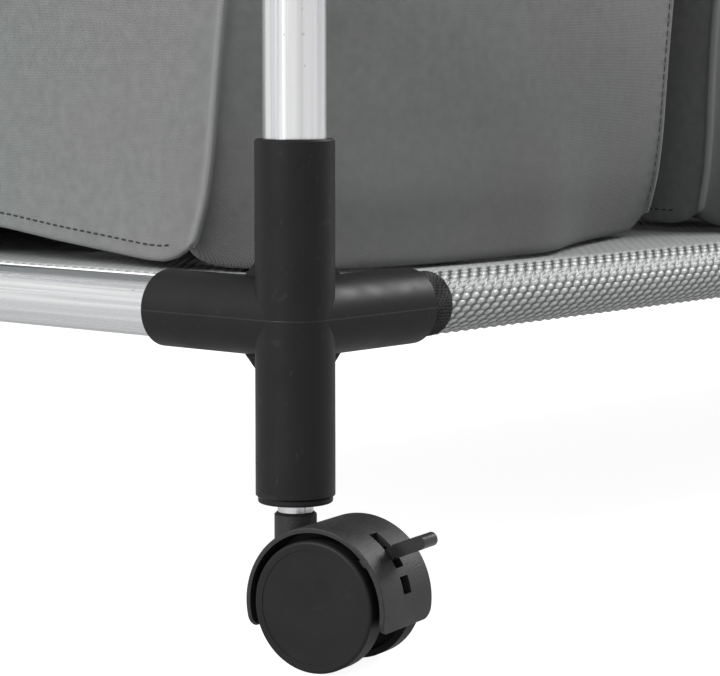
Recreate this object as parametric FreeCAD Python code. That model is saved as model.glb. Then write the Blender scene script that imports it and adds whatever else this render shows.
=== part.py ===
"""Three-bag laundry sorter on wheels: a tube frame with a mesh shelf, three lift-off bags and four twin-wheel casters.

Millimetres. +Z is up, +X runs along the long side and -Y is the front. The origin is on the floor, under the
centre of the whole object's box. Each sub-part is written to parts/NAME.step.
"""

import FreeCAD
import Part

import math
import os

V = FreeCAD.Vector
X_DIR = V(1, 0, 0)
Y_DIR = V(0, 1, 0)
Z_DIR = V(0, 0, 1)

# ---- driving dimensions -------------------------------------------------------------------------------
FRAME_LENGTH = 800.0  # from post axis to post axis along X
FRAME_DEPTH = 334.0  # from post axis to post axis along Y
RAIL_Z = 103.0  # axis of the bottom tubes above the floor
TOP_Z = 797.0  # axis of the top tubes above the floor

TUBE_R = 9.5
TUBE_WALL = 1.0
SOCKET_CLEARANCE = 0.06

CONNECTOR_R = 12.0
CONNECTOR_REACH = 53.5  # from the crossing point to the end of each arm
CONNECTOR_CORE = 13.0  # half of the solid middle, where the tubes stop
CONNECTOR_CHAMFER = 0.6
TUBE_STOP_GAP = 0.5  # the tubes end this short of the connector's solid middle
GUSSET_LEG = 8.0
GUSSET_THICKNESS = 3.0
GUSSET_OVERLAP = 1.0
TOP_CAP_RISE = 12.5  # the top connectors end this far above their crossing point
TOP_CAP_ROUND = 5.0

SLEEVE_R = 9.95  # outer radius of the shelf's sleeve on the long tubes
SLEEVE_WALL = 0.35
BINDING_R = 10.55
BINDING_LENGTH = 9.0
SHELF_THICKNESS = 0.7
SHELF_EDGE_GAP = 15.0  # from the short tubes' axis to the edge of the panel
SHELF_CORNER_NOTCH = 9.0  # keeps the panel clear of the connectors' arms
BINDING_END_GAP = 0.2  # from the connector's arm to the binding
BINDING_FIT = 0.1

WHEEL_R = 19.8
WHEEL_OUTER_FACE = 16.0  # from the caster's middle to each wheel's outer face
WHEEL_TREAD_WIDTH = 7.0
WHEEL_HUB_INNER = 5.0  # the hub reaches this close to the caster's middle
WHEEL_WALL = 2.0
WHEEL_HUB_R = 5.2
WHEEL_EDGE_ROUND = 1.0
WHEEL_FACE_STEP = 0.2
WHEEL_RIM_WIDTH = 2.6
AXLE_END_GAP = 0.3
AXLE_R = 2.5
AXLE_HALF = 13.6
AXLE_CLEARANCE = 0.05
TRAIL = 15.1  # from the stem's axis to the axle
HOOD_R = 23.6
HOOD_WALL = 1.5
HOOD_HALF_WIDTH = 14.8
HOOD_CORNER_R = 3.6
HOOD_EDGE_R = 0.45
HOOD_FRONT_ANGLE = -15.5  # lower edge of the hood on the trailing side
HOOD_BACK_ANGLE = 201.0  # lower edge of the hood under the stem
WEB_HALF = 4.3
WEB_HUB_WALL = 1.5
BOSS_R = 6.4
BOSS_TOP_Z = 44.8
BOSS_CHAMFER = 0.7
STEM_R = 4.0
STEM_CLEARANCE = 0.06
STEM_BORE_Z = 36.0
COLLAR_R = 5.4
PLUG_FLANGE_R = 11.3
PLUG_FLANGE_Z = 47.7
PLUG_TOP_Z = 84.0
PLUG_SEAT_GAP = 0.05
PLUG_FLANGE_ROUND = 0.7
STEM_TOP_Z = 80.0
GRIP_RING_R = 4.6
GRIP_RING_DEPTH = 6.0  # below the top of the stem's hole
GRIP_RING_HEIGHT = 2.0
STEM_SEAT_GAP = 0.15
STEM_END_GAP = 0.1

SLOT_LOW_ANGLE = 29.0
SLOT_HIGH_ANGLE = 61.0
SLOT_HALF = 2.3
WINDOW_LOW_ANGLE = 9.3
WINDOW_HIGH_ANGLE = 22.3
PIVOT_RADIUS = 18.2
PIVOT_ANGLE = 47.0
PIVOT_PIN_R = 1.4
WINDOW_DEPTH = 3.0
SLOT_DEPTH = 9.0
LEVER_HALF = 1.9
LEVER_RISE = 22.0  # the lever points this many degrees above level when the brake is off
LEVER_EYE_R = 2.4
LEVER_PROFILE = (  # along and across the lever, from its pivot
    (-1.2, -1.6),
    (1.5, -2.9),
    (4.4, -3.0),
    (7.6, -1.6),
    (10.2, -1.8),
    (10.2, 1.9),
    (6.0, 1.6),
    (-1.2, 1.6),
)
PADDLE_HALF = 4.0
PADDLE_START = 9.0
PADDLE_END = 19.9  # from the pivot to the paddle's rounded end
PADDLE_RISE = 2.1  # half of the paddle's thickness
PADDLE_ROUND = 1.9
SHOE_HALF = 14.0
SHOE_ANGLE = 43.0
SHOE_SPREAD = (4.5, 2.5)  # degrees below and above the shoe's angle
SHOE_THICKNESS = 0.8
SHOE_HOOD_GAP = 0.25
SHOE_ROOM_SPREAD = (9.0, 7.0)
SHOE_ROOM_DEPTH = 3.2

TRAIL_ANGLES = {  # direction of each caster's trail at rest, in degrees from +X
    "front_left": -79.3,
    "front_right": -100.7,
    "rear_right": -100.7,
    "rear_left": 79.3,
}
BRAKED_CORNERS = ("front_left", "rear_left")

BAG_COUNT = 3
BAG_WIDTH = 240.0
BAG_GAP = 27.0
BAG_WALL = 1.5
BAG_BOTTOM_Z = 113.5
BAG_CORNER_R = 16.0
BAR_R = 6.0
BAR_WALL = 0.8
BAR_LENGTH = 228.0
BAR_INSET_Y = 20.5  # from the long rail's axis to the bar's axis
BAR_DROP = 2.0  # the bar's axis lies this far below the rail's axis
HEM_R = 7.4
HEM_WALL = 1.1
HEM_FLAP = 22.0
HOOK_SPACING = 140.0
HOOK_WIDTH = 14.0
HOOK_INNER_R = 9.85
HOOK_WALL = 2.5
HOOK_LEG = 7.0
BAR_RING_R = 8.6
GRIP_R = 9.2
GRIP_LENGTH = 84.0
HOOK_HEM_GAP = 2.5
GRIP_FIT = 0.02
GRIP_HEM_GAP = 2.0
BOARD_THICKNESS = 2.5
BOARD_LIFT = 0.3  # the board lies this far above the bag's floor
BOARD_MARGIN = 6.0
BOARD_CORNER_R = 10.0

# ---- helpers ------------------------------------------------------------------------------------------
HALF_X = FRAME_LENGTH / 2
HALF_Y = FRAME_DEPTH / 2
CORNERS = {
    "front_left": (-1, -1),
    "front_right": (1, -1),
    "rear_right": (1, 1),
    "rear_left": (-1, 1),
}


def rod(radius, start, end):
    """A solid cylinder from one point to another."""
    run = end - start
    return Part.makeCylinder(radius, run.Length, start, run)


def tube(outer, inner, start, end):
    return rod(outer, start, end).cut(rod(inner, start, end))


def block(low, high):
    return Part.makeBox(high.x - low.x, high.y - low.y, high.z - low.z, low)


def joined(shapes):
    """One solid out of overlapping shapes."""
    whole = shapes[0].fuse(shapes[1:])
    return whole.removeSplitter()


def polygon_prism(points, thickness):
    """A flat outline of 3-D points, pushed out both ways from its plane by half the thickness."""
    face = Part.Face(Part.makePolygon(points + [points[0]]))
    normal = face.normalAt(0, 0)
    return face.translated(normal * (-thickness / 2)).extrude(normal * thickness)


def write(name, shape):
    shape.exportStep(f"parts/{name}.step")


def corner_point(corner, z):
    side_x, side_y = CORNERS[corner]
    return V(side_x * HALF_X, side_y * HALF_Y, z)


# ---- corner connectors --------------------------------------------------------------------------------
def end_chamfered_rod(start, end):
    """A connector arm: a rod whose far end has a small chamfer."""
    run = end - start
    direction = V(run).normalize()
    body_end = end - direction * CONNECTOR_CHAMFER
    cone = Part.makeCone(
        CONNECTOR_R, CONNECTOR_R - CONNECTOR_CHAMFER, CONNECTOR_CHAMFER, body_end, direction
    )
    return [rod(CONNECTOR_R, start, body_end), cone]


def gusset(arm, up):
    """The triangular rib in the corner between an arm and an upright leg."""
    leg = CONNECTOR_R + GUSSET_LEG
    inner = CONNECTOR_R - GUSSET_OVERLAP
    points = [arm * inner + up * inner, arm * leg + up * inner, arm * inner + up * leg]
    return polygon_prism(points, GUSSET_THICKNESS)


def bottom_connector():
    """Four-way corner with arms along +X and +Y, centred on its crossing point."""
    centre = V(0, 0, 0)
    solids = []
    for direction in (X_DIR, Y_DIR, Z_DIR, Z_DIR * -1):
        solids += end_chamfered_rod(centre, direction * CONNECTOR_REACH)
    for arm in (X_DIR, Y_DIR):
        for up in (Z_DIR, Z_DIR * -1):
            solids.append(gusset(arm, up))
    body = joined(solids)
    for direction in (X_DIR, Y_DIR, Z_DIR, Z_DIR * -1):
        bore = rod(
            TUBE_R + SOCKET_CLEARANCE,
            direction * CONNECTOR_CORE,
            direction * (CONNECTOR_REACH + 1),
        )
        body = body.cut(bore)
    return body


def top_connector():
    """Three-way corner with a rounded cap, arms along +X and +Y and one leg down."""
    centre = V(0, 0, 0)
    solids = []
    for direction in (X_DIR, Y_DIR, Z_DIR * -1):
        solids += end_chamfered_rod(centre, direction * CONNECTOR_REACH)
    for arm in (X_DIR, Y_DIR):
        solids.append(gusset(arm, Z_DIR * -1))
    cap = rod(CONNECTOR_R, centre, Z_DIR * TOP_CAP_RISE)
    rim = [e for e in cap.Edges if abs(e.CenterOfMass.z - TOP_CAP_RISE) < 0.01]
    solids.append(cap.makeFillet(TOP_CAP_ROUND, rim))
    body = joined(solids)
    for direction in (X_DIR, Y_DIR, Z_DIR * -1):
        bore = rod(
            TUBE_R + SOCKET_CLEARANCE,
            direction * CONNECTOR_CORE,
            direction * (CONNECTOR_REACH + 1),
        )
        body = body.cut(bore)
    return body


def placed_at_corner(shape, corner, z):
    """Turns a shape made for the front left corner to point inwards from another corner."""
    turn = list(CORNERS).index(corner) * 90
    placed = shape.copy()
    placed.rotate(V(0, 0, 0), Z_DIR, turn)
    placed.translate(corner_point(corner, z))
    return placed


# ---- tubes --------------------------------------------------------------------------------------------
def frame_tube(start, end):
    return tube(TUBE_R, TUBE_R - TUBE_WALL, start, end)


def horizontal_tubes(prefix, z):
    """The four tubes of one level of the frame, by name."""
    stop = CONNECTOR_CORE + TUBE_STOP_GAP
    y_front = -HALF_Y
    y_rear = HALF_Y
    made = {}
    for name, y in (("front", y_front), ("rear", y_rear)):
        made[f"{prefix}_{name}"] = frame_tube(V(-HALF_X + stop, y, z), V(HALF_X - stop, y, z))
    for name, x in (("left", -HALF_X), ("right", HALF_X)):
        made[f"{prefix}_{name}"] = frame_tube(V(x, y_front + stop, z), V(x, y_rear - stop, z))
    return made


def post(corner):
    stop = CONNECTOR_CORE + TUBE_STOP_GAP
    return frame_tube(corner_point(corner, RAIL_Z + stop), corner_point(corner, TOP_Z - stop))


# ---- mesh shelf ---------------------------------------------------------------------------------------
def shelf_mesh():
    """A flat panel level with the tops of the tubes, with a sleeve along each long tube."""
    y_front = -HALF_Y
    y_rear = HALF_Y
    top = RAIL_Z + SLEEVE_R
    low = top - SHELF_THICKNESS
    sleeve_x = HALF_X - CONNECTOR_REACH - BINDING_LENGTH - BINDING_END_GAP - 0.1
    edge_x = HALF_X - SHELF_EDGE_GAP
    notch = SHELF_CORNER_NOTCH
    solids = [
        block(V(-sleeve_x, y_front, low), V(sleeve_x, y_rear, top)),
        block(V(-edge_x, y_front + notch, low), V(edge_x, y_rear - notch, top)),
    ]
    for y in (y_front, y_rear):
        solids.append(rod(SLEEVE_R, V(-sleeve_x, y, RAIL_Z), V(sleeve_x, y, RAIL_Z)))
    shelf = joined(solids)
    for y in (y_front, y_rear):
        inner = SLEEVE_R - SLEEVE_WALL
        shelf = shelf.cut(rod(inner, V(-edge_x - 1, y, RAIL_Z), V(edge_x + 1, y, RAIL_Z)))
    return shelf


def shelf_binding():
    """The woven tape round the four ends of the sleeves."""
    rings = []
    for side_x, side_y in CORNERS.values():
        near = HALF_X - CONNECTOR_REACH - BINDING_END_GAP
        far = near - BINDING_LENGTH
        y = side_y * HALF_Y
        start = V(side_x * near, y, RAIL_Z)
        end = V(side_x * far, y, RAIL_Z)
        rings.append(tube(BINDING_R, TUBE_R + BINDING_FIT, start, end))
    return Part.Compound(rings)


# ---- casters ------------------------------------------------------------------------------------------
# A caster is made with its stem on the Z axis, its trail along +X and its axle along Y.
AXLE_Z = WHEEL_R


def polar(radius, angle, y=0.0):
    """A point at an angle above level round the axle."""
    turn = math.radians(angle)
    return V(TRAIL + radius * math.cos(turn), y, AXLE_Z + radius * math.sin(turn))


def sector(radius, low_angle, high_angle, half_width):
    """A slice of a disc round the axle."""
    start = polar(radius, low_angle)
    middle = polar(radius, (low_angle + high_angle) / 2)
    end = polar(radius, high_angle)
    centre = polar(0, 0)
    edges = [
        Part.makeLine(centre, start),
        Part.Arc(start, middle, end).toShape(),
        Part.makeLine(end, centre),
    ]
    face = Part.Face(Part.Wire(edges))
    return face.translated(V(0, -half_width, 0)).extrude(V(0, 2 * half_width, 0))


def with_rounded_hood_edges(hood):
    """Rounds the four free corners of the hood's sheet and softens its two outer rims."""
    corners = []
    for edge in hood.Edges:
        is_short = abs(edge.Length - HOOD_WALL) < 0.01
        if is_short and edge.Curve.TypeId == "Part::GeomLine":
            corners.append(edge)
    hood = hood.makeFillet(HOOD_CORNER_R, corners)
    rims = []
    for edge in hood.Edges:
        on_side = abs(abs(edge.CenterOfMass.y) - HOOD_HALF_WIDTH) < 0.01
        if on_side and edge.Curve.TypeId == "Part::GeomCircle" and edge.Curve.Radius > HOOD_R - 0.01:
            rims.append(edge)
    return hood.makeFillet(HOOD_EDGE_R, rims)


def caster_body(has_brake):
    """Hood, middle web and stem boss, moulded in one piece."""
    hood = sector(HOOD_R, HOOD_FRONT_ANGLE, HOOD_BACK_ANGLE, HOOD_HALF_WIDTH)
    inner = HOOD_R - HOOD_WALL
    hood = hood.cut(rod(inner, polar(0, 0, -HOOD_HALF_WIDTH - 1), polar(0, 0, HOOD_HALF_WIDTH + 1)))
    hood = with_rounded_hood_edges(hood)
    web = sector(inner + 0.5, HOOD_FRONT_ANGLE, HOOD_BACK_ANGLE, WEB_HALF)
    hub = rod(WHEEL_HUB_R + WEB_HUB_WALL, polar(0, 0, -WEB_HALF), polar(0, 0, WEB_HALF))
    boss = rod(BOSS_R, V(0, 0, AXLE_Z + 10), V(0, 0, BOSS_TOP_Z))
    boss = boss.cut(rod(inner, polar(0, 0, -BOSS_R - 1), polar(0, 0, BOSS_R + 1)))
    rim = [e for e in boss.Edges if abs(e.CenterOfMass.z - BOSS_TOP_Z) < 0.01]
    boss = boss.makeChamfer(BOSS_CHAMFER, rim)
    body = joined([hood, web, hub, boss])
    body = body.cut(rod(AXLE_R, polar(0, 0, -WEB_HALF - 1), polar(0, 0, WEB_HALF + 1)))
    body = body.cut(rod(STEM_R + STEM_CLEARANCE, V(0, 0, STEM_BORE_Z), V(0, 0, BOSS_TOP_Z + 1)))
    window = sector(HOOD_R + 1, WINDOW_LOW_ANGLE, WINDOW_HIGH_ANGLE, SLOT_HALF)
    window = window.cut(sector(inner - WINDOW_DEPTH, WINDOW_LOW_ANGLE - 5, WINDOW_HIGH_ANGLE + 5, SLOT_HALF + 1))
    slot = sector(HOOD_R + 1, SLOT_LOW_ANGLE, SLOT_HIGH_ANGLE, SLOT_HALF)
    slot = slot.cut(sector(inner - SLOT_DEPTH, SLOT_LOW_ANGLE - 5, SLOT_HIGH_ANGLE + 5, SLOT_HALF + 1))
    body = body.cut(window).cut(slot)
    if has_brake:
        pivot = polar(PIVOT_RADIUS, PIVOT_ANGLE)
        reach = V(0, WEB_HALF + 1, 0)
        body = body.cut(rod(PIVOT_PIN_R + AXLE_CLEARANCE, pivot - reach, pivot + reach))
        low_angle = SHOE_ANGLE - SHOE_ROOM_SPREAD[0]
        high_angle = SHOE_ANGLE + SHOE_ROOM_SPREAD[1]
        shoe_room = sector(inner - 0.05, low_angle, high_angle, WEB_HALF + 1)
        below_room = sector(inner - SHOE_ROOM_DEPTH, low_angle - 5, high_angle + 5, WEB_HALF + 2)
        shoe_room = shoe_room.cut(below_room)
        body = body.cut(shoe_room)
    return body


def wheel(side):
    """One wheel of the pair: a closed outer disc, a tread ring and a hub that turns on the axle."""
    outer = side * WHEEL_OUTER_FACE
    inner = side * (WHEEL_OUTER_FACE - WHEEL_TREAD_WIDTH)
    hub_end = side * WHEEL_HUB_INNER
    disc = rod(WHEEL_R, polar(0, 0, inner), polar(0, 0, outer))
    rims = [
        e
        for e in disc.Edges
        if abs(e.CenterOfMass.y - outer) < 0.01 and abs(e.CenterOfMass.z - AXLE_Z) < 0.01
    ]
    disc = disc.makeFillet(WHEEL_EDGE_ROUND, [e for e in rims if e.Curve.TypeId == "Part::GeomCircle"])
    hollow = rod(
        WHEEL_R - WHEEL_WALL,
        polar(0, 0, inner - side),
        polar(0, 0, outer - side * WHEEL_WALL),
    )
    hub = rod(WHEEL_HUB_R, polar(0, 0, hub_end), polar(0, 0, outer - side))
    body = joined([disc.cut(hollow), hub])
    face_step = rod(
        WHEEL_R - WHEEL_RIM_WIDTH, polar(0, 0, outer - side * WHEEL_FACE_STEP), polar(0, 0, outer + side)
    )
    body = body.cut(face_step)
    bore = rod(
        AXLE_R + AXLE_CLEARANCE,
        polar(0, 0, hub_end - side),
        polar(0, 0, side * (AXLE_HALF + AXLE_END_GAP)),
    )
    return body.cut(bore)


def axle():
    return rod(AXLE_R, polar(0, 0, -AXLE_HALF), polar(0, 0, AXLE_HALF))


def brake_lever():
    """A rocking lever with its pivot pin, a shoe over both treads and a paddle for the toe."""
    pivot = polar(PIVOT_RADIUS, PIVOT_ANGLE)
    rise = math.radians(LEVER_RISE)
    along = V(math.cos(rise), 0, math.sin(rise))
    across = V(-math.sin(rise), 0, math.cos(rise))

    def at(run, lift):
        return pivot + along * run + across * lift

    arm = polygon_prism([at(*point) for point in LEVER_PROFILE], 2 * LEVER_HALF)
    pin_reach = V(0, WEB_HALF - 0.2, 0)
    pin = rod(PIVOT_PIN_R, pivot - pin_reach, pivot + pin_reach)
    eye = rod(LEVER_EYE_R, pivot - V(0, LEVER_HALF, 0), pivot + V(0, LEVER_HALF, 0))
    outline = [
        at(PADDLE_START, -PADDLE_RISE),
        at(PADDLE_END, -PADDLE_RISE),
        at(PADDLE_END, PADDLE_RISE),
        at(PADDLE_START, PADDLE_RISE),
    ]
    paddle = polygon_prism(outline, 2 * PADDLE_HALF)
    tip = [e for e in paddle.Edges if abs((e.CenterOfMass - pivot).dot(along) - PADDLE_END) < 0.01]
    paddle = paddle.makeFillet(PADDLE_ROUND, [e for e in tip if abs(e.tangentAt(e.FirstParameter).y) > 0.9])
    shoe_outer = HOOD_R - HOOD_WALL - SHOE_HOOD_GAP
    low_angle = SHOE_ANGLE - SHOE_SPREAD[0]
    high_angle = SHOE_ANGLE + SHOE_SPREAD[1]
    shoe = sector(shoe_outer, low_angle, high_angle, SHOE_HALF)
    shoe = shoe.cut(sector(shoe_outer - SHOE_THICKNESS, low_angle - 5, high_angle + 5, SHOE_HALF + 1))
    return joined([arm, pin, eye, paddle, shoe])


def placed_caster_part(shape, corner):
    """Turns a caster part to its trail's direction and moves it under its corner."""
    placed = shape.copy()
    placed.rotate(V(0, 0, 0), Z_DIR, TRAIL_ANGLES[corner])
    placed.translate(corner_point(corner, 0))
    return placed


def grip_ring():
    """The ring near the stem's upper end, which snaps into the plug."""
    low = STEM_TOP_Z - GRIP_RING_DEPTH
    return rod(GRIP_RING_R, V(0, 0, low), V(0, 0, low + GRIP_RING_HEIGHT))


def caster_plug():
    """The insert in the connector's lower leg that holds the stem."""
    foot = RAIL_Z - CONNECTOR_REACH
    flange = rod(PLUG_FLANGE_R, V(0, 0, PLUG_FLANGE_Z), V(0, 0, foot - PLUG_SEAT_GAP))
    rim = [e for e in flange.Edges if abs(e.CenterOfMass.z - PLUG_FLANGE_Z) < 0.01]
    flange = flange.makeFillet(PLUG_FLANGE_ROUND, rim)
    plug = rod(TUBE_R, V(0, 0, foot - 2 * PLUG_SEAT_GAP), V(0, 0, PLUG_TOP_Z))
    body = joined([flange, plug])
    body = body.cut(rod(STEM_R, V(0, 0, PLUG_FLANGE_Z - 1), V(0, 0, STEM_TOP_Z)))
    return body.cut(grip_ring())


def caster_stem():
    """The steel pin: its upper end is held in the plug and the caster turns on its lower end."""
    pin = rod(STEM_R, V(0, 0, STEM_BORE_Z + 2 * STEM_END_GAP), V(0, 0, STEM_TOP_Z - STEM_END_GAP))
    collar = rod(COLLAR_R, V(0, 0, BOSS_TOP_Z + STEM_SEAT_GAP), V(0, 0, PLUG_FLANGE_Z))
    return joined([pin, collar, grip_ring()])


# ---- bags ---------------------------------------------------------------------------------------------
FRONT_Y = -HALF_Y
REAR_Y = HALF_Y
BAR_Z = TOP_Z - BAR_DROP


def bag_centre_x(index):
    return (index - (BAG_COUNT - 1) / 2) * (BAG_WIDTH + BAG_GAP)


def bag_section(half_x, inset_y, bulge, corner_r, z):
    """A closed outline round the bag at one height: four gently bowed sides and four round corners."""
    y0 = FRONT_Y + inset_y
    y1 = REAR_Y - inset_y
    r = corner_r
    bow = r * (1 - math.sqrt(0.5))
    flat = 0.4
    middle_y = (y0 + y1) / 2
    points = [
        (V(-half_x + r, y0, z), V(0, y0 - bulge, z), V(half_x - r, y0, z)),
        (V(half_x - r, y0, z), V(half_x - bow, y0 + bow, z), V(half_x, y0 + r, z)),
        (V(half_x, y0 + r, z), V(half_x + flat, middle_y, z), V(half_x, y1 - r, z)),
        (V(half_x, y1 - r, z), V(half_x - bow, y1 - bow, z), V(half_x - r, y1, z)),
        (V(half_x - r, y1, z), V(0, y1 + bulge, z), V(-half_x + r, y1, z)),
        (V(-half_x + r, y1, z), V(-half_x + bow, y1 - bow, z), V(-half_x, y1 - r, z)),
        (V(-half_x, y1 - r, z), V(-half_x - flat, middle_y, z), V(-half_x, y0 + r, z)),
        (V(-half_x, y0 + r, z), V(-half_x + bow, y0 + bow, z), V(-half_x + r, y0, z)),
    ]
    return Part.Wire([Part.Arc(*three).toShape() for three in points])


BAG_LEVELS = (  # height above the bottom, inset from the long rail's axis, bulge of front and back
    (0.0, 44.0, 33.0),
    (90.0, 38.0, 22.0),
    (300.0, 26.0, 9.0),
    (BAR_Z - BAG_BOTTOM_Z, BAR_INSET_Y - HEM_R + 1.0, 0.6),
)


def bag_loft(offset, bottom, top):
    """The bag's outside shape moved inwards by an offset, from one height to another above its bottom."""
    wires = []
    for height, inset, bulge in BAG_LEVELS:
        z = BAG_BOTTOM_Z + height
        z = z + bottom if height == 0 else z
        z = z + top if height == BAG_LEVELS[-1][0] else z
        half_x = BAG_WIDTH / 2 - 0.4 - offset
        wires.append(bag_section(half_x, inset + offset, bulge, BAG_CORNER_R - offset, z))
    return Part.makeLoft(wires, True)


def bag_shell():
    """The cloth bag, centred on X = 0: tapering walls, a floor and a hem channel round each bar."""
    shell = bag_loft(0, 0, 0).cut(bag_loft(BAG_WALL, BAG_WALL, 1.0))
    hem_half = BAR_LENGTH / 2 - 1
    hems = []
    for y in (FRONT_Y + BAR_INSET_Y, REAR_Y - BAR_INSET_Y):
        hems.append(rod(HEM_R, V(-hem_half, y, BAR_Z), V(hem_half, y, BAR_Z)))
    shell = shell.fuse(hems)
    hook_room = HOOK_WIDTH / 2 + HOOK_HEM_GAP
    for y in (FRONT_Y + BAR_INSET_Y, REAR_Y - BAR_INSET_Y):
        shell = shell.cut(rod(HEM_R - HEM_WALL, V(-hem_half - 9, y, BAR_Z), V(hem_half + 9, y, BAR_Z)))
        for x in (-HOOK_SPACING / 2, HOOK_SPACING / 2):
            low = V(x - hook_room, y - 14, BAR_Z - 13)
            shell = shell.cut(block(low, V(x + hook_room, y + 14, BAR_Z + 12)))
        grip_room = GRIP_LENGTH / 2 + GRIP_HEM_GAP
        low = V(-grip_room, y - 14, BAR_Z - HEM_FLAP)
        shell = shell.cut(block(low, V(grip_room, y + 14, BAR_Z + 12)))
    return shell


def bag_bars():
    bars = []
    for y in (FRONT_Y + BAR_INSET_Y, REAR_Y - BAR_INSET_Y):
        half = BAR_LENGTH / 2
        bars.append(tube(BAR_R, BAR_R - BAR_WALL, V(-half, y, BAR_Z), V(half, y, BAR_Z)))
    return Part.Compound(bars)


def bag_grips():
    grips = []
    for y in (FRONT_Y + BAR_INSET_Y, REAR_Y - BAR_INSET_Y):
        half = GRIP_LENGTH / 2
        grip = tube(GRIP_R, BAR_R + GRIP_FIT, V(-half, y, BAR_Z), V(half, y, BAR_Z))
        grips.append(grip)
    return Part.Compound(grips)


def rail_hook(x, side_y):
    """A hook that sits on a long rail and carries a bar just inside it."""
    rail_y = side_y * HALF_Y
    half = V(HOOK_WIDTH / 2, 0, 0)
    centre = V(x, rail_y, TOP_Z)
    outer_r = HOOK_INNER_R + HOOK_WALL
    arch = rod(outer_r, centre - half, centre + half)
    arch = arch.cut(block(centre - V(20, 30, 30), centre + V(20, 30, 0)))
    legs = block(centre - half - V(0, outer_r, HOOK_LEG), centre + half + V(0, outer_r, 0))
    bar_centre = V(x, rail_y - side_y * BAR_INSET_Y, BAR_Z)
    ring = rod(BAR_RING_R, bar_centre - half, bar_centre + half)
    body = joined([arch, legs, ring])
    body = body.cut(rod(HOOK_INNER_R, centre - half * 2, centre + half * 2))
    way_down = V(HOOK_WIDTH, HOOK_INNER_R, 30)
    body = body.cut(block(centre - way_down, centre + V(HOOK_WIDTH, HOOK_INNER_R, 0)))
    return body.cut(rod(BAR_R, bar_centre - half * 2, bar_centre + half * 2))


def bag_hooks():
    hooks = []
    for x in (-HOOK_SPACING / 2, HOOK_SPACING / 2):
        for side_y in (-1, 1):
            hooks.append(rail_hook(x, side_y))
    return Part.Compound(hooks)


def bag_base_board():
    """The stiff board that lies on the bag's floor."""
    low = BAG_BOTTOM_Z + BAG_WALL + BOARD_LIFT
    half_x = BAG_WIDTH / 2 - BAG_WALL - BOARD_MARGIN
    inset = BAG_LEVELS[0][1] + BOARD_MARGIN
    board = block(
        V(-half_x, FRONT_Y + inset, low),
        V(half_x, REAR_Y - inset, low + BOARD_THICKNESS),
    )
    upright = [e for e in board.Edges if abs(e.tangentAt(e.FirstParameter).z) > 0.9]
    return board.makeFillet(BOARD_CORNER_R, upright)


# ---- all parts ----------------------------------------------------------------------------------------
def build():
    os.makedirs("parts", exist_ok=True)
    low_corner = bottom_connector()
    high_corner = top_connector()
    plugs = []
    stems = []
    for corner in CORNERS:
        write(f"bottom_connector_{corner}", placed_at_corner(low_corner, corner, RAIL_Z))
        write(f"top_connector_{corner}", placed_at_corner(high_corner, corner, TOP_Z))
        write(f"post_{corner}", post(corner))
        plugs.append(caster_plug().translated(corner_point(corner, 0)))
        stems.append(caster_stem().translated(corner_point(corner, 0)))
        has_brake = corner in BRAKED_CORNERS
        write(f"caster_body_{corner}", placed_caster_part(caster_body(has_brake), corner))
        write(f"wheel_a_{corner}", placed_caster_part(wheel(-1), corner))
        write(f"wheel_b_{corner}", placed_caster_part(wheel(1), corner))
        write(f"axle_{corner}", placed_caster_part(axle(), corner))
        if has_brake:
            write(f"brake_lever_{corner}", placed_caster_part(brake_lever(), corner))
    write("caster_plugs", Part.Compound(plugs))
    write("caster_stems", Part.Compound(stems))
    for prefix, z in (("bottom_tube", RAIL_Z), ("top_rail", TOP_Z)):
        for name, shape in horizontal_tubes(prefix, z).items():
            write(name, shape)
    write("shelf_mesh", shelf_mesh())
    write("shelf_binding", shelf_binding())

    bag_parts = {
        "bag": bag_shell(),
        "bag_bars": bag_bars(),
        "bag_grips": bag_grips(),
        "bag_hooks": bag_hooks(),
        "bag_base_board": bag_base_board(),
    }
    for index, place in enumerate(("left", "middle", "right")):
        for name, shape in bag_parts.items():
            write(f"{name}_{place}", shape.translated(V(bag_centre_x(index), 0, 0)))


build()
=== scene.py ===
# %% [markdown]
# # A laundry sorter on wheels
# The sorter is a frame of aluminium tubes in black plastic corners, on four twin-wheel casters. Three
# fabric bags hang in it over a mesh shelf. The hard pieces are already in the frame that is loaded here, so
# this lesson gives them their finishes, and models what cloth does: the bags, the net of the shelf and the
# tape that binds it.

import math

import bpy
import numpy as np
from mathutils import Matrix, Vector, noise


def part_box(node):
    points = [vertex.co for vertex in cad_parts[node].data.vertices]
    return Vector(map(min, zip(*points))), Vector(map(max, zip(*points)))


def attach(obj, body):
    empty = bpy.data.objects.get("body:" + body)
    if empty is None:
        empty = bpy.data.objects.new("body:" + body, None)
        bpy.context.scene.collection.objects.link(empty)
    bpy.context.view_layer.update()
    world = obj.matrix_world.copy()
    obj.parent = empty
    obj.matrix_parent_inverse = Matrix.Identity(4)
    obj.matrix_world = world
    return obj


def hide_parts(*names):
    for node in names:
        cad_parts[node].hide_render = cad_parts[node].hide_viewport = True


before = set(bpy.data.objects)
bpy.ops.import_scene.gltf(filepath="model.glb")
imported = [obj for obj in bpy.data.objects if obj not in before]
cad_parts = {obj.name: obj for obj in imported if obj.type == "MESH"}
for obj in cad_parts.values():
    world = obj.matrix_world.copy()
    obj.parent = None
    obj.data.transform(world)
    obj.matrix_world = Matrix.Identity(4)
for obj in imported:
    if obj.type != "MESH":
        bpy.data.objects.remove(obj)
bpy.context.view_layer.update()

MM = 0.001
CORNERS = {"front_left": (-1, -1), "front_right": (1, -1), "rear_right": (1, 1), "rear_left": (-1, 1)}
BAGS = ("left", "middle", "right")

bpy.ops.object.select_all(action="DESELECT")
print("nodes loaded:", len(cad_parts))

# %% [markdown]
# ## Where things are
# Every place comes from the frame's own boxes. The point where the tube axes of a corner cross is the
# handiest one to measure from, so it is worked out once for each corner, from the post above it and the
# tube beside it.

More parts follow.
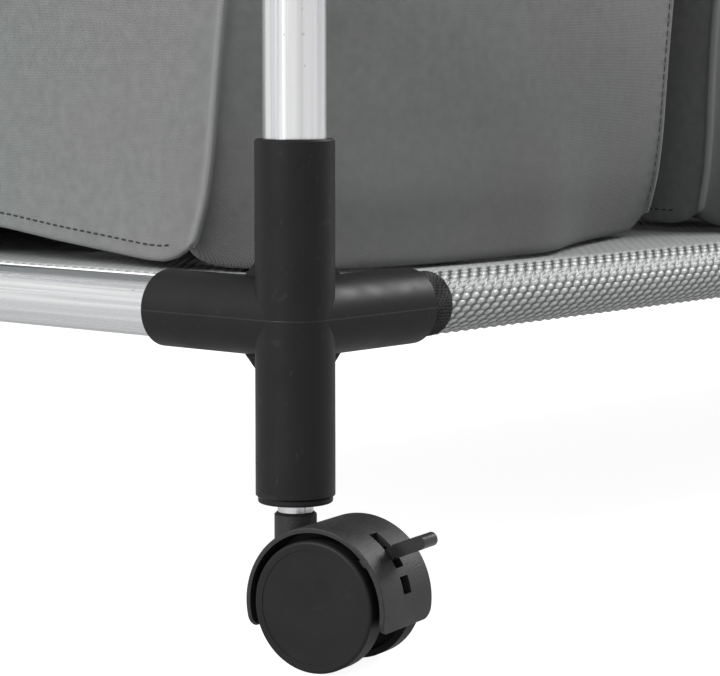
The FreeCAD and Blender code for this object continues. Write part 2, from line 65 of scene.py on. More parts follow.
# %% Crossing points
def middle_of(node):
    low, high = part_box(node)
    return (low + high) / 2


RAIL_Z = middle_of("bottom_tube_front").z
TOP_Z = middle_of("top_rail_front").z
TUBE_R = (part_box("post_front_left")[1].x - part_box("post_front_left")[0].x) / 2


def crossing(corner):
    post = middle_of(f"post_{corner}")
    return Vector((post.x, post.y, RAIL_Z))


FRONT_LEFT = crossing("front_left")
HALF_Y = -FRONT_LEFT.y
print("front left crossing:", [round(v, 4) for v in FRONT_LEFT])

# %% [markdown]
# ## Camera
# The view is a close one of a low corner, taken from about 0.8 m with a long lens. It looks a little down.

# %% Camera
camera_data = bpy.data.cameras.new("camera")
camera_data.lens = 129.66
camera_data.sensor_width = 36.0
camera_data.clip_start = 0.05
camera = bpy.data.objects.new("camera", camera_data)
bpy.context.scene.collection.objects.link(camera)
camera.location = FRONT_LEFT + Vector((-0.573677, -0.512216, 0.077644))
camera.rotation_euler = (math.radians(90 - 6.199), 0, math.radians(-49.68))
bpy.context.scene.camera = camera

# %% [markdown]
# ## Nodes without clicking
# A material is a small graph. These two helpers add a node, set its values and join its inputs, so that a
# graph reads from top to bottom like a recipe.

# %% Node helpers
def add_node(tree, kind, inputs=None, **settings):
    """Adds a node; each input is a plain value or another node's output."""
    new = tree.nodes.new(kind)
    for key, value in settings.items():
        setattr(new, key, value)
    for key, value in (inputs or {}).items():
        if isinstance(value, bpy.types.NodeSocket):
            tree.links.new(value, new.inputs[key])
        else:
            new.inputs[key].default_value = value
    return new


def calculate(tree, operation, first, second=0.0, third=0.0):
    """One Math node, as its output socket."""
    return add_node(tree, "ShaderNodeMath", {0: first, 1: second, 2: third}, operation=operation).outputs[0]


def blend_colours(tree, factor, first, second):
    """One colour Mix node, as its output socket."""
    mix = add_node(tree, "ShaderNodeMix", {"Factor": factor}, data_type="RGBA")
    for socket, value in ((mix.inputs[6], first), (mix.inputs[7], second)):
        if isinstance(value, bpy.types.NodeSocket):
            tree.links.new(value, socket)
        else:
            socket.default_value = (*value, 1.0)
    return mix.outputs[2]


def scale_to(tree, value, low, high, new_low, new_high):
    """One clamped Map Range node, as its output socket."""
    inputs = {"Value": value, "From Min": low, "From Max": high, "To Min": new_low, "To Max": new_high}
    return add_node(tree, "ShaderNodeMapRange", inputs).outputs[0]


def new_group(name, inputs, outputs):
    """A shader node group with named sockets: returns its tree, its input node and its output node."""
    tree = bpy.data.node_groups.new(name, "ShaderNodeTree")
    for label, kind, value in inputs:
        socket = tree.interface.new_socket(name=label, in_out="INPUT", socket_type=kind)
        if value is not None:
            socket.default_value = value
    for label, kind in outputs:
        tree.interface.new_socket(name=label, in_out="OUTPUT", socket_type=kind)
    return tree, tree.nodes.new("NodeGroupInput"), tree.nodes.new("NodeGroupOutput")


def place_group(tree, group, inputs):
    node = tree.nodes.new("ShaderNodeGroup")
    node.node_tree = group
    for key, value in inputs.items():
        if isinstance(value, bpy.types.NodeSocket):
            tree.links.new(value, node.inputs[key])
        else:
            node.inputs[key].default_value = value
    return node.outputs


# %% [markdown]
# ## Effects that several finishes share
# Moulded plastic, foam and painted parts all have a fine grain. Drawn metal has long streaks. Cloth and
# tape have crossing threads. Handled black plastic has short pale scratches. Each is a node group, built
# once.

# %% Grain
def make_grain_group():
    tree, given, out = new_group(
        "fine grain",
        [("Vector", "NodeSocketVector", None), ("Grains per metre", "NodeSocketFloat", 2500.0)],
        [("Height", "NodeSocketFloat"), ("Blotch", "NodeSocketFloat")],
    )
    fine = add_node(
        tree, "ShaderNodeTexNoise", {"Vector": given.outputs[0], "Scale": given.outputs[1], "Detail": 2.0}
    )
    blotch = add_node(tree, "ShaderNodeTexNoise", {"Vector": given.outputs[0], "Scale": 90.0, "Detail": 4.0})
    tree.links.new(fine.outputs[0], out.inputs[0])
    tree.links.new(blotch.outputs[0], out.inputs[1])
    return tree


GRAIN = make_grain_group()


# %% Streaks
def make_streak_group():
    """Long lines along X of the given vector: drawing marks, with a second, finer set among them."""
    tree, given, out = new_group(
        "drawn streaks",
        [("Vector", "NodeSocketVector", None), ("Lines per metre", "NodeSocketFloat", 900.0)],
        [("Lines", "NodeSocketFloat"), ("Fine lines", "NodeSocketFloat"), ("Specks", "NodeSocketFloat")],
    )
    stretch = add_node(
        tree, "ShaderNodeVectorMath", {0: given.outputs[0], 1: (0.006, 1.0, 1.0)}, operation="MULTIPLY"
    ).outputs[0]
    broad = add_node(
        tree, "ShaderNodeTexNoise", {"Vector": stretch, "Scale": given.outputs[1], "Detail": 2.0}
    )
    finer = calculate(tree, "MULTIPLY", given.outputs[1], 4.0)
    fine = add_node(tree, "ShaderNodeTexNoise", {"Vector": stretch, "Scale": finer, "Detail": 3.0})
    speck_place = {"Vector": given.outputs[0], "Scale": 420.0, "Detail": 1.0}
    speck_noise = add_node(tree, "ShaderNodeTexNoise", speck_place)
    specks = scale_to(tree, speck_noise.outputs[0], 0.74, 0.80, 0.0, 1.0)
    tree.links.new(broad.outputs[0], out.inputs[0])
    tree.links.new(fine.outputs[0], out.inputs[1])
    tree.links.new(specks, out.inputs[2])
    return tree


STREAKS = make_streak_group()


# %% Threads
def make_thread_group():
    """A plain weave on a flat vector in metres: over and under threads of one pitch."""
    tree, given, out = new_group(
        "crossing threads",
        [("Vector", "NodeSocketVector", None), ("Pitch", "NodeSocketFloat", 0.0006)],
        [("Height", "NodeSocketFloat"), ("Over", "NodeSocketFloat"), ("Yarn shade", "NodeSocketFloat")],
    )
    flat = add_node(tree, "ShaderNodeSeparateXYZ", {0: given.outputs[0]})
    across = calculate(tree, "DIVIDE", flat.outputs[0], given.outputs[1])
    along = calculate(tree, "DIVIDE", flat.outputs[1], given.outputs[1])
    warp = calculate(tree, "ABSOLUTE", calculate(tree, "SINE", calculate(tree, "MULTIPLY", across, math.pi)))
    weft = calculate(tree, "ABSOLUTE", calculate(tree, "SINE", calculate(tree, "MULTIPLY", along, math.pi)))
    count = calculate(tree, "ADD", calculate(tree, "FLOOR", across), calculate(tree, "FLOOR", along))
    over = calculate(tree, "FLOORED_MODULO", count, 2.0)
    under = calculate(tree, "SUBTRACT", 1.0, over)
    warp_height = calculate(tree, "MULTIPLY", warp, over)
    weft_height = calculate(tree, "MULTIPLY", weft, under)
    height = calculate(tree, "ADD", warp_height, weft_height)
    yarn_place = add_node(
        tree, "ShaderNodeVectorMath", {0: given.outputs[0], 1: (60.0, 1800.0, 1.0)}, operation="MULTIPLY"
    ).outputs[0]
    yarn = add_node(tree, "ShaderNodeTexNoise", {"Vector": yarn_place, "Scale": 1.0, "Detail": 2.0})
    tree.links.new(height, out.inputs[0])
    tree.links.new(over, out.inputs[1])
    tree.links.new(yarn.outputs[0], out.inputs[2])
    return tree


THREADS = make_thread_group()


# %% Scratches
def make_scratch_group():
    tree, given, out = new_group(
        "short scratches", [("Vector", "NodeSocketVector", None)], [("Mask", "NodeSocketFloat")]
    )
    masks = []
    for turn, stretch in ((0.5, (40.0, 900.0, 300.0)), (-0.9, (900.0, 60.0, 300.0))):
        turned = add_node(
            tree, "ShaderNodeMapping",
            {"Vector": given.outputs[0], "Rotation": (turn, turn, 0), "Scale": stretch}
        ).outputs[0]
        lines = add_node(tree, "ShaderNodeTexNoise", {"Vector": turned, "Scale": 1.0, "Detail": 0.0})
        masks.append(scale_to(tree, lines.outputs[0], 0.76, 0.82, 0.0, 1.0))
    tree.links.new(calculate(tree, "MAXIMUM", masks[0], masks[1]), out.inputs[0])
    return tree


SCRATCHES = make_scratch_group()


# %% [markdown]
# ## Finishes
# One function starts a material: a Principled shader whose constant values are set on its own sockets. Each
# finish then adds what changes over the surface.

# %% Start of a material
def new_material(name, **constants):
    """Returns the material, its tree, its Principled node and the Object coordinates."""
    material = bpy.data.materials.new(name)
    material.use_nodes = True
    tree = material.node_tree
    shader = tree.nodes["Principled BSDF"]
    for key, value in constants.items():
        shader.inputs[key.replace("_", " ")].default_value = value
    place = tree.nodes.new("ShaderNodeTexCoord").outputs["Object"]
    return material, tree, shader, place


def bump(tree, shader, height, depth, normal=None):
    inputs = {"Height": height, "Distance": depth, "Strength": 1.0}
    if normal is not None:
        inputs["Normal"] = normal
    out = add_node(tree, "ShaderNodeBump", inputs).outputs[0]
    tree.links.new(out, shader.inputs["Normal"])
    return out


# %% Aluminium tube
def make_aluminium(axis):
    """Bright drawn aluminium, with its lines along one axis."""
    material, tree, shader, place = new_material(f"drawn aluminium along {axis}", Metallic=1.0)
    turn = {"x": (0, 0, 0), "y": (0, 0, math.pi / 2), "z": (0, math.pi / 2, 0)}[axis]
    lengthwise = add_node(tree, "ShaderNodeMapping", {"Vector": place, "Rotation": turn}).outputs[0]
    streaks = place_group(tree, STREAKS, {"Vector": lengthwise, "Lines per metre": 330.0})
    tone = scale_to(tree, streaks["Lines"], 0.38, 0.62, 0.0, 1.0)
    colour = blend_colours(tree, tone, (0.74, 0.75, 0.78), (0.98, 0.98, 0.98))
    specks = calculate(tree, "MULTIPLY", streaks["Specks"], 0.5)
    colour = blend_colours(tree, specks, colour, (0.42, 0.42, 0.44))
    tree.links.new(colour, shader.inputs["Base Color"])
    rough = scale_to(tree, streaks["Fine lines"], 0.3, 0.7, 0.2, 0.36)
    tree.links.new(rough, shader.inputs["Roughness"])
    bump(tree, shader, streaks["Fine lines"], 0.00004)
    return material


ALUMINIUM = {axis: make_aluminium(axis) for axis in "xyz"}


# %% Steel pin
def make_steel():
    material, tree, shader, place = new_material("bright steel", Metallic=1.0)
    streaks = place_group(tree, STREAKS, {"Vector": place, "Lines per metre": 1500.0})
    tone = blend_colours(tree, streaks["Fine lines"], (0.66, 0.66, 0.68), (0.86, 0.86, 0.87))
    tree.links.new(tone, shader.inputs["Base Color"])
    tree.links.new(scale_to(tree, streaks["Lines"], 0.3, 0.7, 0.16, 0.3), shader.inputs["Roughness"])
    return material


STEEL = make_steel()


# %% Black plastic
def make_black_plastic(name, tone, roughness, grains, grain_depth, shine=0.2, scratched=0.0, parting_z=None):
    """Moulded black plastic: grain, blotches, a few scratches and, if asked, the mould's parting line."""
    material, tree, shader, place = new_material(name, Specular_IOR_Level=shine)
    grain = place_group(tree, GRAIN, {"Vector": place, "Grains per metre": grains})
    colour = blend_colours(tree, grain["Blotch"], [0.75 * v for v in tone], [1.3 * v for v in tone])
    height = grain["Height"]
    if scratched:
        marks = place_group(tree, SCRATCHES, {"Vector": place})["Mask"]
        scratches = calculate(tree, "MULTIPLY", marks, scratched)
        colour = blend_colours(tree, scratches, colour, (0.07, 0.07, 0.07))
    rough = scale_to(tree, grain["Blotch"], 0.3, 0.7, roughness - 0.05, roughness + 0.08)
    tree.links.new(rough, shader.inputs["Roughness"])
    if parting_z is not None:
        level = add_node(tree, "ShaderNodeSeparateXYZ", {0: place}).outputs[2]
        gap = calculate(tree, "ABSOLUTE", calculate(tree, "SUBTRACT", level, parting_z))
        line = scale_to(tree, gap, 0.00010, 0.00028, 1.0, 0.0)
        colour = blend_colours(tree, calculate(tree, "MULTIPLY", line, 0.3), colour, (0.06, 0.06, 0.06))
        height = calculate(tree, "ADD", height, calculate(tree, "MULTIPLY", line, 3.0))
    tree.links.new(colour, shader.inputs["Base Color"])
    bump(tree, shader, height, grain_depth)
    return material


CONNECTOR_BLACK = make_black_plastic(
    "satin black connector", (0.012, 0.012, 0.013), 0.43, 1400.0, 0.00002, scratched=0.12, parting_z=RAIL_Z
)
TOP_BLACK = make_black_plastic(
    "satin black top connector", (0.012, 0.012, 0.013), 0.43, 1400.0, 0.00002, scratched=0.12, parting_z=TOP_Z
)
HOOD_BLACK = make_black_plastic(
    "grained black hood", (0.018, 0.018, 0.019), 0.46, 2000.0, 0.00016, shine=0.42
)
WHEEL_BLACK = make_black_plastic(
    "satin black wheel", (0.013, 0.013, 0.014), 0.48, 1300.0, 0.00004, scratched=0.04
)
LEVER_BLACK = make_black_plastic("shiny black lever", (0.012, 0.012, 0.013), 0.24, 1400.0, 0.00002, shine=0.5)
FOAM_BLACK = make_black_plastic("black foam", (0.02, 0.02, 0.02), 0.9, 1600.0, 0.0004)
BOARD_BLACK = make_black_plastic("black board", (0.02, 0.02, 0.021), 0.6, 1500.0, 0.0001)

# %% [markdown]
# Each CAD node gets its finish by the start of its name. The lines on a tube follow its length, so the
# tubes along X, along Y and upright have a finish each.

# %% Finishes on the CAD nodes
FINISHES = (
    ("bottom_connector", CONNECTOR_BLACK),
    ("top_connector", TOP_BLACK),
    ("caster_plugs", WHEEL_BLACK),
    ("bag_hooks", WHEEL_BLACK),
    ("caster_stems", STEEL),
    ("axle", STEEL),
    ("caster_body", HOOD_BLACK),
    ("brake_lever", LEVER_BLACK),
    ("wheel_", WHEEL_BLACK),
    ("bag_grips", FOAM_BLACK),
    ("bag_base_board", BOARD_BLACK),
    ("bag_bars", ALUMINIUM["x"]),
    ("post", ALUMINIUM["z"]),
    ("bottom_tube_front", ALUMINIUM["x"]),
    ("bottom_tube_rear", ALUMINIUM["x"]),
    ("bottom_tube", ALUMINIUM["y"]),
    ("top_rail_front", ALUMINIUM["x"]),
    ("top_rail_rear", ALUMINIUM["x"]),
    ("top_rail", ALUMINIUM["y"]),
)
for name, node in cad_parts.items():
    for start, material in FINISHES:
        if name.startswith(start):
            node.data.materials.clear()
            node.data.materials.append(material)
            break

# %% [markdown]
# ## Cloth as a grid of points
# A bag wall, a net panel and a sleeve are each a grid of points, some of them closed into a ring. One
# helper joins the grid into faces and lays its UV map in metres, so a weave keeps its real pitch wherever
# the cloth bends.

# %% Grid helper
def grid_piece(name, points, flat, ring=False, wrap=(0.0, 0.0)):
    """points is rows x columns x 3; flat is rows x columns x 2, in metres. A ring joins the last column to the first,
    where the flat place goes on by wrap."""
    rows, columns = points.shape[:2]
    last = columns if ring else columns - 1
    faces = []
    corners = []
    for row in range(rows - 1):
        for column in range(last):
            after = (column + 1) % columns
            face = ((row, column), (row, after), (row + 1, after), (row + 1, column))
            faces.append([r * columns + c for r, c in face])
            for r, c in face:
                u, v = flat[r, c]
                wrapped = ring and c == 0 and column == columns - 1
                corners.append((u + wrap[0], v + wrap[1]) if wrapped else (u, v))
    mesh = bpy.data.meshes.new(name)
    mesh.from_pydata(points.reshape(-1, 3).tolist(), [], faces)
    layer = mesh.uv_layers.new(name="cloth")
    layer.data.foreach_set("uv", np.array(corners, dtype=np.float32).ravel())
    mesh.shade_smooth()
    piece = bpy.data.objects.new(name, mesh)
    bpy.context.scene.collection.objects.link(piece)
    return piece


def apply_modifier(piece, kind, **settings):
    modifier = piece.modifiers.new(kind.lower(), kind)
    for key, value in settings.items():
        setattr(modifier, key, value)
    bpy.context.view_layer.objects.active = piece
    bpy.ops.object.modifier_apply(modifier=modifier.name)


def soft_noise(place, size, seed):
    """Smooth noise from -1 to 1 whose hills are about the given size apart."""
    return noise.noise(Vector(place) / size + Vector((seed * 7.31, seed * 3.17, seed * 1.93)))


# %% [markdown]
# ## Net
# The shelf is a coarse net of plastic-coated yarn. Short fat floats lie side by side, each row half a float
# along from the next, with dark gaps between them. The group below draws one float in every cell.

# %% Net finish
FLOAT_PITCH = 5.0 * MM
FLOAT_ROW = 2.02 * MM
FLOAT_HALF_LENGTH = 2.1 * MM
FLOAT_HALF_WIDTH = 0.86 * MM
FLOAT_TILT = math.radians(14)


def make_net_group():
    tree, given, out = new_group(
        "net floats",
        [
            ("Vector", "NodeSocketVector", None),
            ("Pitch", "NodeSocketFloat", FLOAT_PITCH),
            ("Row", "NodeSocketFloat", FLOAT_ROW),
        ],
        [("Float", "NodeSocketFloat"), ("Height", "NodeSocketFloat")],
    )
    flat = add_node(tree, "ShaderNodeSeparateXYZ", {0: given.outputs[0]})
    row = calculate(tree, "DIVIDE", flat.outputs[1], given.outputs[2])
    row_number = calculate(tree, "FLOOR", row)
    in_row = calculate(tree, "SUBTRACT", calculate(tree, "FRACT", row), 0.5)
    up = calculate(tree, "MULTIPLY", in_row, given.outputs[2])
    shift = calculate(tree, "MULTIPLY", calculate(tree, "FLOORED_MODULO", row_number, 2.0), 0.5)
    along = calculate(tree, "ADD", calculate(tree, "DIVIDE", flat.outputs[0], given.outputs[1]), shift)
    in_cell = calculate(tree, "SUBTRACT", calculate(tree, "FRACT", along), 0.5)
    run = calculate(tree, "MULTIPLY", in_cell, given.outputs[1])
    long_way = calculate(tree, "MULTIPLY", run, math.cos(FLOAT_TILT) / FLOAT_HALF_LENGTH)
    long_way = calculate(tree, "MULTIPLY_ADD", up, -math.sin(FLOAT_TILT) / FLOAT_HALF_LENGTH, long_way)
    short_way = calculate(tree, "MULTIPLY", run, math.sin(FLOAT_TILT) / FLOAT_HALF_WIDTH)
    short_way = calculate(tree, "MULTIPLY_ADD", up, math.cos(FLOAT_TILT) / FLOAT_HALF_WIDTH, short_way)
    wide = calculate(tree, "POWER", long_way, 2.0)
    tall = calculate(tree, "POWER", short_way, 2.0)
    radius = calculate(tree, "SQRT", calculate(tree, "ADD", wide, tall))
    tree.links.new(scale_to(tree, radius, 0.75, 1.2, 1.0, 0.0), out.inputs[0])
    tree.links.new(scale_to(tree, radius, 0.1, 1.15, 1.0, 0.0), out.inputs[1])
    return tree


NET = make_net_group()


PANEL_YARN = ((0.42, 0.43, 0.43), (0.62, 0.63, 0.63))
SLEEVE_YARN = ((0.45, 0.46, 0.46), (0.71, 0.72, 0.72))


def make_net_material(
    name, bump_depth, gap_colour, yarn_colours, roughness=(0.22, 0.36), specular=0.6, gap_alpha=1.0
):
    material, tree, shader, _ = new_material(name, Specular_IOR_Level=specular)
    place = add_node(tree, "ShaderNodeUVMap", uv_map="cloth").outputs[0]
    net = place_group(tree, NET, {"Vector": place})
    threads = place_group(tree, THREADS, {"Vector": place, "Pitch": 0.0005})
    yarn = blend_colours(tree, threads["Yarn shade"], *yarn_colours)
    colour = blend_colours(tree, net["Float"], gap_colour, yarn)
    tree.links.new(colour, shader.inputs["Base Color"])
    tree.links.new(scale_to(tree, threads["Yarn shade"], 0.3, 0.7, *roughness), shader.inputs["Roughness"])
    if gap_alpha < 1.0:
        tree.links.new(scale_to(tree, net["Float"], 0.0, 0.7, gap_alpha, 1.0), shader.inputs["Alpha"])
    height = calculate(tree, "ADD", net["Height"], calculate(tree, "MULTIPLY", threads["Height"], 0.06))
    bump(tree, shader, height, bump_depth)
    return material


# %% [markdown]
# The panel is stretched between the two long tubes, so it is nearly flat. It dips a millimetre or two and
# its two free edges wander and reach over the short tubes. Near each long tube it is cut back to clear the
# corners. It reaches to the middle of each long tube's top, where the sleeve takes over. Its gaps let a
# little of the floor show through.

# %% Shelf panel
SHELF_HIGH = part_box("shelf_mesh")[1]
PANEL_ROWS = 70
PANEL_COLUMNS = 150
PANEL_THICKNESS = 0.5 * MM
PANEL_REACH = 10.0 * MM
PANEL_DIP = 1.3 * MM
EDGE_WANDER = 1.4 * MM
CORNER_CUTBACK = 54.0 * MM
CUTBACK_DEPTH = 12.0 * MM


def shelf_panel():
    half_length = SHELF_HIGH.x + PANEL_REACH
    points = np.zeros((PANEL_ROWS, PANEL_COLUMNS, 3))
    flat = np.zeros((PANEL_ROWS, PANEL_COLUMNS, 2))
    for row, v in enumerate(np.linspace(-1, 1, PANEL_ROWS)):
        for column, u in enumerate(np.linspace(-1, 1, PANEL_COLUMNS)):
            y = v * HALF_Y
            near_tube = max(0.0, abs(v) * HALF_Y - (HALF_Y - CUTBACK_DEPTH)) / CUTBACK_DEPTH
            reach = half_length - CORNER_CUTBACK * near_tube ** 0.3 * (near_tube > 0)
            wander = EDGE_WANDER * soft_noise((y, u, 0.0), 0.05, 2) * abs(u) ** 8
            x = u * reach + wander
            dip = PANEL_DIP * (1 - v * v) * (1 - u ** 8)
            ripple = 0.5 * MM * soft_noise((x, y, 0.3), 0.05, 5) * (1 - v ** 6)
            points[row, column] = (x, y, SHELF_HIGH.z - 0.1 * MM - dip + ripple)
            flat[row, column] = (x, y)
    return grid_piece("shelf_net_panel", points, flat)


panel = shelf_panel()
apply_modifier(panel, "SOLIDIFY", thickness=PANEL_THICKNESS, offset=-1.0)
panel_net = make_net_material(
    "net of the panel", 0.0002, (0.36, 0.37, 0.37), PANEL_YARN, (0.6, 0.75), specular=0.15, gap_alpha=0.75
)
panel.data.materials.append(panel_net)
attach(panel, "frame")

# %% [markdown]
# Round each long tube the net is a sleeve. This is what one sees closest, so its floats are real hills in
# the mesh and not only in the finish: the same cell as in the group, worked out at each point.

# %% Sleeves
SLEEVE_R = 9.75 * MM
SLEEVE_ROWS = 31
FLOAT_RELIEF = 0.55 * MM
STEPS_ALONG = 6
STEPS_ROUND = 3


def float_height(u, v):
    """The height of a float, from 0 to 1, at a flat place on the net."""
    row = v / FLOAT_ROW
    up = (row % 1.0 - 0.5) * FLOAT_ROW
    along = u / FLOAT_PITCH + 0.5 * (math.floor(row) % 2)
    run = (along % 1.0 - 0.5) * FLOAT_PITCH
    long_way = (run * math.cos(FLOAT_TILT) - up * math.sin(FLOAT_TILT)) / FLOAT_HALF_LENGTH
    short_way = (run * math.sin(FLOAT_TILT) + up * math.cos(FLOAT_TILT)) / FLOAT_HALF_WIDTH
    return max(0.0, 1.0 - long_way * long_way - short_way * short_way)


def sleeve(name, side, half_length):
    round_steps = SLEEVE_ROWS * STEPS_ROUND
    length_steps = int(2 * half_length / FLOAT_PITCH * STEPS_ALONG)
    girth = SLEEVE_ROWS * FLOAT_ROW
    points = np.zeros((length_steps + 1, round_steps, 3))
    flat = np.zeros((length_steps + 1, round_steps, 2))
    for row in range(length_steps + 1):
        u = row * 2 * half_length / length_steps
        for column in range(round_steps):
            v = (column + 0.5) * girth / round_steps
            angle = -side * 2 * math.pi * column / round_steps
            radius = SLEEVE_R + FLOAT_RELIEF * float_height(u, v)
            y = side * HALF_Y + radius * math.cos(angle)
            points[row, column] = (u - half_length, y, RAIL_Z + radius * math.sin(angle))
            flat[row, column] = (u, v)
    return grid_piece(name, points, flat, ring=True, wrap=(0.0, girth))


def face_outwards(piece):
    """Turns the faces of a tidy piece so that they all point out."""
    bpy.ops.object.select_all(action="DESELECT")
    piece.select_set(True)
    bpy.context.view_layer.objects.active = piece
    bpy.ops.object.mode_set(mode="EDIT")
    bpy.ops.mesh.select_all(action="SELECT")
    bpy.ops.mesh.normals_make_consistent(inside=False)
    bpy.ops.object.mode_set(mode="OBJECT")
    piece.select_set(False)


binding_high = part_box("shelf_binding")[1]
SLEEVE_HALF = binding_high.x - 9.2 * MM
sleeve_net = make_net_material("net of the sleeves", 0.00022, (0.10, 0.105, 0.105), SLEEVE_YARN)
for label, side in (("front", -1), ("rear", 1)):
    piece = sleeve(f"shelf_net_sleeve_{label}", side, SLEEVE_HALF)
    face_outwards(piece)
    piece.data.materials.append(sleeve_net)
    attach(piece, "frame")
    print(piece.name, len(piece.data.polygons), "faces")
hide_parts("shelf_mesh")

# %% [markdown]
# ## Binding
# A strip of black webbing is sewn round each raw end of the sleeves. It is thick, so it stands proud of the
# net, with a rounded edge and a coarse weave that shows in its outline.

# %% Binding
BINDING_R = 10.1 * MM
BINDING_RIBS = 64


def make_webbing_material():
    material, tree, shader, _ = new_material("black webbing", Specular_IOR_Level=0.35)
    place = add_node(tree, "ShaderNodeUVMap", uv_map="cloth").outputs[0]
    threads = place_group(tree, THREADS, {"Vector": place, "Pitch": 0.0009})
    colour = blend_colours(tree, threads["Height"], (0.003, 0.003, 0.003), (0.028, 0.028, 0.029))
    tree.links.new(colour, shader.inputs["Base Color"])
    tree.links.new(scale_to(tree, threads["Height"], 0.0, 1.0, 0.9, 0.6), shader.inputs["Roughness"])
    bump(tree, shader, threads["Height"], 0.0005)
    return material


def binding(name, side_x, side_y, inner_x, outer_x):
    """A padded ring with ribs across it."""
    profile = [
        (0.0, 0.0), (0.02, 0.75), (0.08, 1.0), (0.3, 1.12), (0.6, 1.15), (0.9, 1.02), (0.98, 0.75), (1.0, 0.0)
    ]
    columns = BINDING_RIBS * 4
    points = np.zeros((len(profile), columns, 3))
    flat = np.zeros((len(profile), columns, 2))
    for row, (run, lift) in enumerate(profile):
        x = side_x * (inner_x + run * (outer_x - inner_x))
        for column in range(columns):
            angle = 2 * math.pi * column / columns
            rib = 0.14 * MM * math.cos(BINDING_RIBS * angle + 3.0 * run)
            radius = TUBE_R + 0.1 * MM + lift * (BINDING_R - TUBE_R) + (rib if 0.05 < run < 0.95 else 0.0)
            y = side_y * HALF_Y + radius * math.cos(angle)
            points[row, column] = (x, y, RAIL_Z + radius * math.sin(angle))
            flat[row, column] = (radius * angle, run * (outer_x - inner_x))
    piece = grid_piece(name, points, flat, ring=True, wrap=(2 * math.pi * BINDING_R, 0.0))
    face_outwards(piece)
    return piece


webbing = make_webbing_material()
for corner, (side_x, side_y) in CORNERS.items():
    piece = binding(f"binding_{corner}", side_x, side_y, binding_high.x - 9.5 * MM, binding_high.x)
    piece.data.materials.append(webbing)
    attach(piece, "frame")
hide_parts("shelf_binding")

# %% [markdown]
# ## Bag cloth
# The bags are of woven polyester, grey, with a dull shine. Each thread differs a little in shade, and the
# cloth is paler where it has been rubbed or stretched over a seam. The seams pull it into small puckers,
# which the finish draws from an attribute that holds each point's distance to the nearest corner seam.

# %% Cloth finish
PUCKER_PITCH = 5.6 * MM


def make_bag_cloth():
    material, tree, shader, place = new_material(
        "grey oxford cloth", Specular_IOR_Level=0.3, Sheen_Weight=0.15, Sheen_Roughness=0.4
    )
    flat_place = add_node(tree, "ShaderNodeUVMap", uv_map="cloth").outputs[0]
    threads = place_group(tree, THREADS, {"Vector": flat_place, "Pitch": 0.00052})
    seam = add_node(tree, "ShaderNodeAttribute", attribute_name="seam_distance").outputs["Fac"]
    pulled = add_node(tree, "ShaderNodeAttribute", attribute_name="pulled").outputs["Fac"]
    near = scale_to(tree, seam, 0.0, 0.004, 1.0, 0.0)
    large = add_node(tree, "ShaderNodeTexNoise", {"Vector": place, "Scale": 14.0, "Detail": 3.0}).outputs[0]
    mottle = add_node(tree, "ShaderNodeTexNoise", {"Vector": place, "Scale": 260.0, "Detail": 3.0}).outputs[0]
    tint = scale_to(tree, large, 0.35, 0.65, 0.0, 1.0)
    colour = blend_colours(tree, tint, (0.226, 0.224, 0.223), (0.218, 0.233, 0.229))
    shade = calculate(tree, "ADD", calculate(tree, "MULTIPLY", threads["Yarn shade"], 0.5), mottle)
    depth = scale_to(tree, shade, 0.55, 0.95, 0.0, 1.0)
    dark = blend_colours(tree, depth, (0.92, 0.92, 0.92), (1.07, 1.07, 1.07))
    varied = add_node(tree, "ShaderNodeMix", {"Factor": 1.0}, data_type="RGBA", blend_type="MULTIPLY")
    tree.links.new(colour, varied.inputs[6])
    tree.links.new(dark, varied.inputs[7])
    worn = calculate(tree, "MULTIPLY", near, 0.25)
    colour = blend_colours(tree, worn, varied.outputs[2], (0.30, 0.30, 0.30))
    # Painted shade: low on the front and rear panels the colour is blended towards dark grey, standing in for the
    # shade where the cloth turns down.
    painted_low_shade = add_node(tree, "ShaderNodeAttribute", attribute_name="painted_low_shade").outputs["Fac"]
    colour = blend_colours(tree, calculate(tree, "MULTIPLY", painted_low_shade, 0.74), colour, (0.085, 0.086, 0.086))
    tree.links.new(colour, shader.inputs["Base Color"])
    tree.links.new(scale_to(tree, threads["Yarn shade"], 0.3, 0.7, 0.72, 0.88), shader.inputs["Roughness"])
    up = add_node(tree, "ShaderNodeSeparateXYZ", {0: flat_place}).outputs[1]
    pucker_place = calculate(tree, "MULTIPLY", up, 2 * math.pi / PUCKER_PITCH)
    wander = calculate(tree, "MULTIPLY", large, 9.0)
    pucker = calculate(tree, "SINE", calculate(tree, "ADD", pucker_place, wander))
    pull = scale_to(tree, seam, 0.002, 0.016, 1.0, 0.0)
    front_pull = calculate(tree, "MULTIPLY", pull, pulled)
    ripples = calculate(tree, "MULTIPLY", calculate(tree, "MULTIPLY", pucker, front_pull), 0.9)
    height = calculate(tree, "ADD", ripples, calculate(tree, "MULTIPLY", threads["Height"], 0.45))
    bump(tree, shader, height, 0.00028)
    return material


BAG_CLOTH = make_bag_cloth()
THREAD_BLACK = make_black_plastic("dark sewing thread", (0.045, 0.046, 0.047), 0.7, 4000.0, 0.0002)

# %% [markdown]
# ## Bag shape
# A bag is one lofted shell. Going round it there are four panels that meet in four sewn corners. Low down
# the cloth bellies out over the tubes in front and behind, and stands back at the corners, so each ring
# round the bag is worked out from its height. The columns are packed closely by the seams, where the cloth
# is rolled into a welt.

